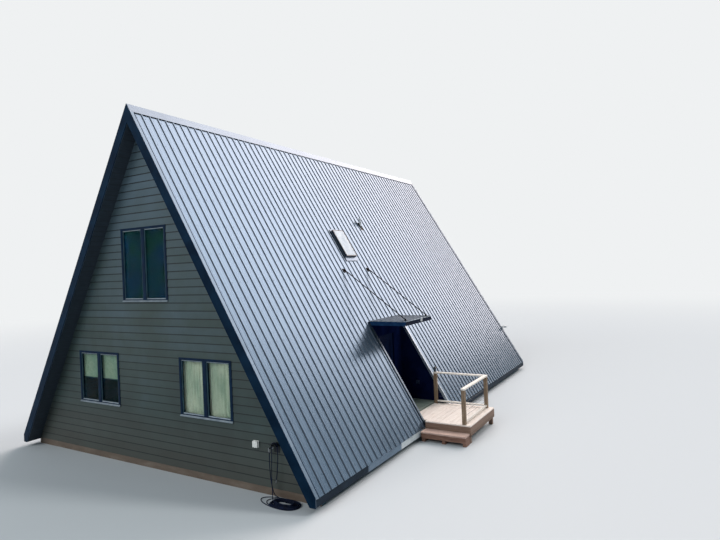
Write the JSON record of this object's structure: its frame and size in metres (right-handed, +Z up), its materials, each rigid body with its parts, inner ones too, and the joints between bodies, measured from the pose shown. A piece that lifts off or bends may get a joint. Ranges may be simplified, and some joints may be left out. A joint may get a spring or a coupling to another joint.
{
  "type": "a-frame cabin",
  "caption": "A-frame cabin with a ribbed metal roof down to the ground, lap-sided gables, an entrance recessed into one slope under a small canopy, and a cable-railed porch",
  "frame": {"origin": "on the level ground, under the ridge and half way along the cabin", "axes": "+X is to the right of the front gable, towards the slope with the entrance; +Y runs along the ridge from the front gable to the back one; +Z is up"},
  "size_m": [11.0159, 15.363, 8.4698],
  "materials": {
    "concrete": "cast concrete, plain",
    "timber_framing": "bare softwood framing and boards",
    "interior_lining": "bare boards and insulation, one solid panel",
    "siding_paint": "dark olive-grey painted lap siding",
    "skirt_paint": "brown stained skirt board",
    "roof_metal": "charcoal blue-grey ribbed steel sheet, satin",
    "trim_metal": "dark charcoal trim, satin",
    "eave_grey": "grey primed board",
    "eave_white": "white primed board",
    "entry_paint": "very dark blue-grey painted boards",
    "landing_stone": "pale grey landing surface",
    "door_paint": "dark painted door, satin",
    "canopy_paint": "dark painted canopy boards",
    "canopy_sheet": "folded grey sheet",
    "rod_steel": "black painted steel rod",
    "curb_metal": "dark flashing",
    "skylight_pane": "clear glazing",
    "vent_plastic": "grey pipe and boot",
    "window_frame": "near-black window frame",
    "window_pane": "clear glazing",
    "shade_fabric": "pale roller shade",
    "curtain_fabric": "pale curtain",
    "deck_wood": "weathered pale deck boards",
    "step_wood": "brown stained boards",
    "post_wood": "stained timber posts",
    "rail_wood": "pale timber rails",
    "cable_steel": "stainless wire",
    "lamp_dark": "black painted lantern",
    "lamp_white": "white lamp head",
    "outlet_plastic": "off-white outlet cover",
    "tap_brass": "worn brass",
    "hanger_steel": "dark painted steel",
    "hose_rubber": "black rubber hose",
    "coupling_brass": "plated brass coupling"
  },
  "bodies": {
    "root": {"foundation": "concrete", "main_floor": "timber_framing", "upper_floor": "timber_framing", "front_wall": "interior_lining", "back_wall": "interior_lining", "front_siding": "siding_paint", "back_siding": "siding_paint", "skirt_boards": "skirt_paint", "roof_left": "interior_lining", "roof_right_front": "interior_lining", "roof_right_rear": "interior_lining", "roof_over_entry": "interior_lining", "metal_roof_left": "roof_metal", "metal_roof_right": "roof_metal", "ridge_cap": "trim_metal", "front_rake_trim": "trim_metal", "back_rake_trim": "trim_metal", "eave_boards": "trim_metal", "eave_board_grey": "eave_grey", "eave_board_white": "eave_white", "entry_wall": "entry_paint", "entry_cheeks": "entry_paint", "entry_landing": "landing_stone", "entry_door_frame": "entry_paint", "entry_door": "door_paint", "canopy_frame": "canopy_paint", "canopy_top": "canopy_sheet", "canopy_rods": "rod_steel", "skylight_curb": "curb_metal", "skylight_glass": "skylight_pane", "vent_pipe": "vent_plastic", "front_window_left": "window_frame", "front_window_right": "window_frame", "front_window_upper": "window_frame", "back_windows": "window_frame", "front_glass": "window_pane", "back_glass": "window_pane", "window_shades": "shade_fabric", "curtains": "curtain_fabric", "porch_frame": "step_wood", "porch_deck": "deck_wood", "porch_step": "step_wood", "porch_posts": "post_wood", "porch_rails": "rail_wood", "porch_cables": "cable_steel", "porch_lamp": "lamp_dark", "gable_lamp": "lamp_white", "outlet_boxes": "outlet_plastic", "hose_tap": "tap_brass", "hose_hanger": "hanger_steel", "hose_lead": "hose_rubber", "hose_coil": "hose_rubber", "hose_tail": "hose_rubber", "hose_end": "coupling_brass"}
  },
  "joints": []
}
